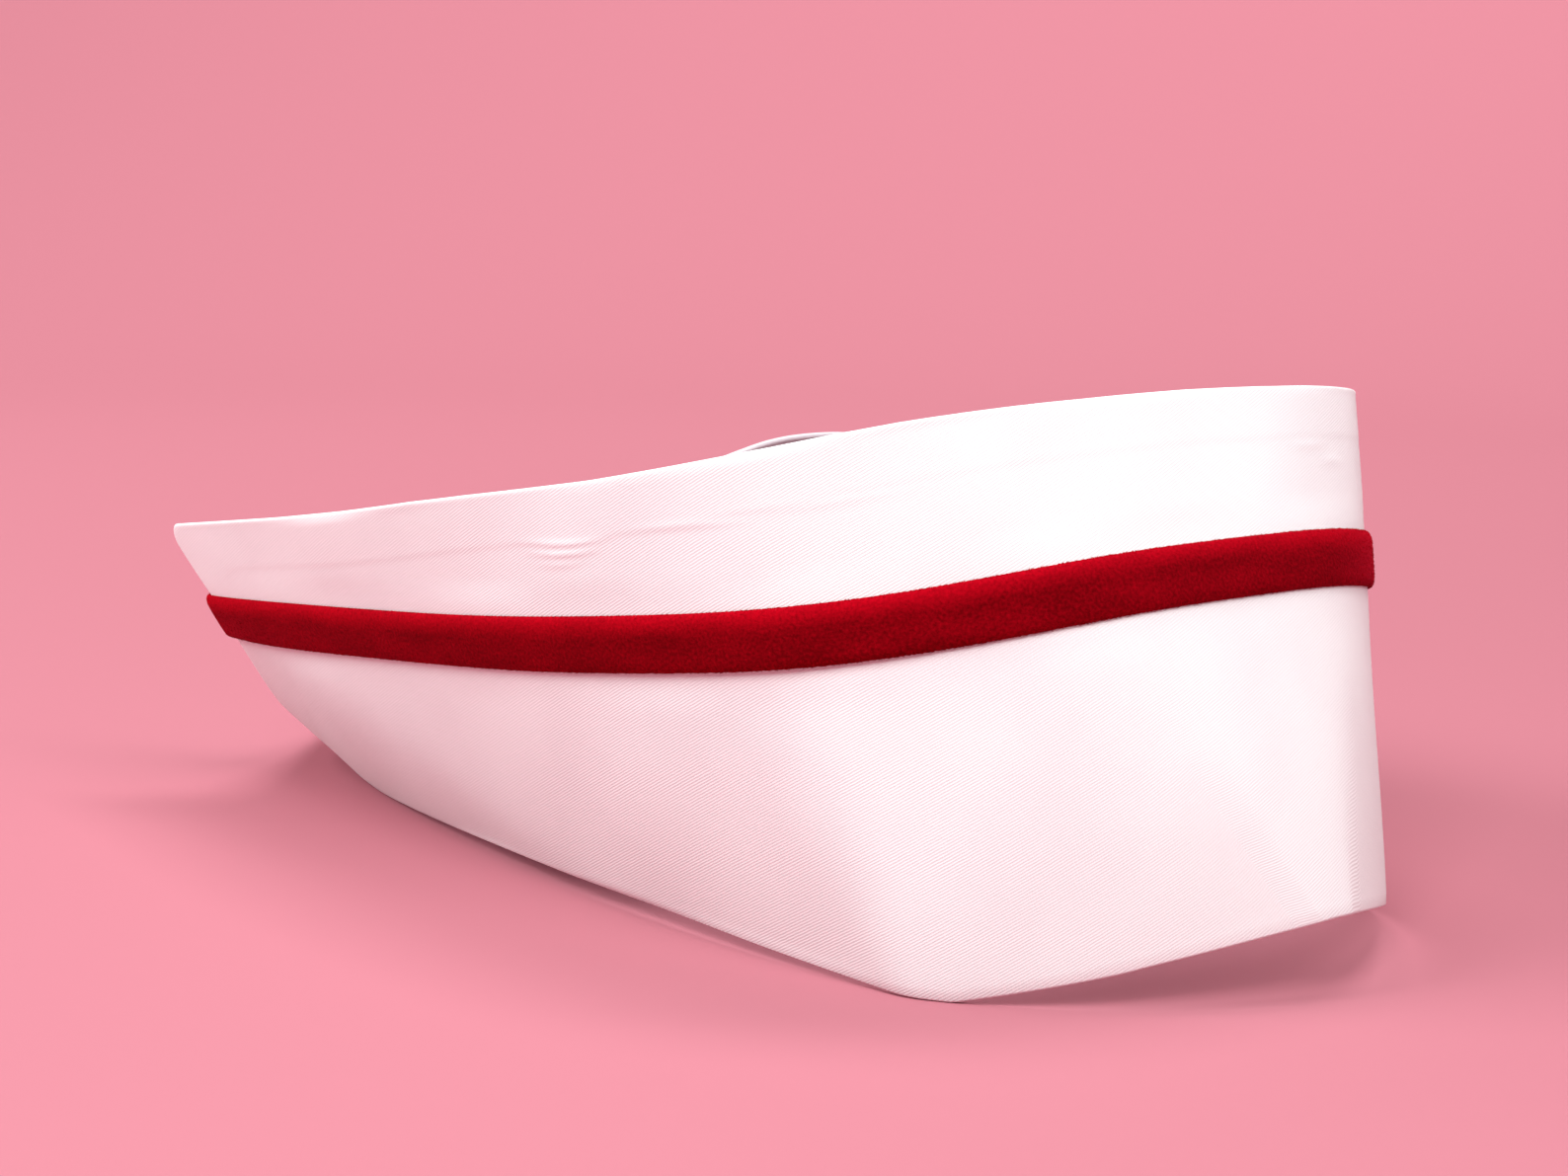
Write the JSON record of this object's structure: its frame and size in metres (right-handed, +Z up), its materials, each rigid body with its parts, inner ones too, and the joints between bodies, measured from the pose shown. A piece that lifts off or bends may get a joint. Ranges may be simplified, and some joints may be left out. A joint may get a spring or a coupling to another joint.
{
  "type": "nurse cap",
  "caption": "Starched white folded nurse cap: a stiff cuff with slanted wings, a thin pleated crown sheet inside it and a red velvet ribbon round the outside.",
  "frame": {"origin": "middle of the footprint of the whole cap, on the surface it rests on", "axes": "+X towards the front of the cap, +Z up, Y across it; the plane Y = 0 halves it"},
  "size_m": [0.2678, 0.1556, 0.0942],
  "materials": {
    "cuff_cotton": "matte starched cotton, doubled and hemmed",
    "crown_cotton": "matte thin cotton",
    "red_velvet": "cut pile velvet ribbon"
  },
  "bodies": {
    "root": {"cuff": "cuff_cotton", "crown": "crown_cotton", "velvet_band": "red_velvet"}
  },
  "joints": []
}
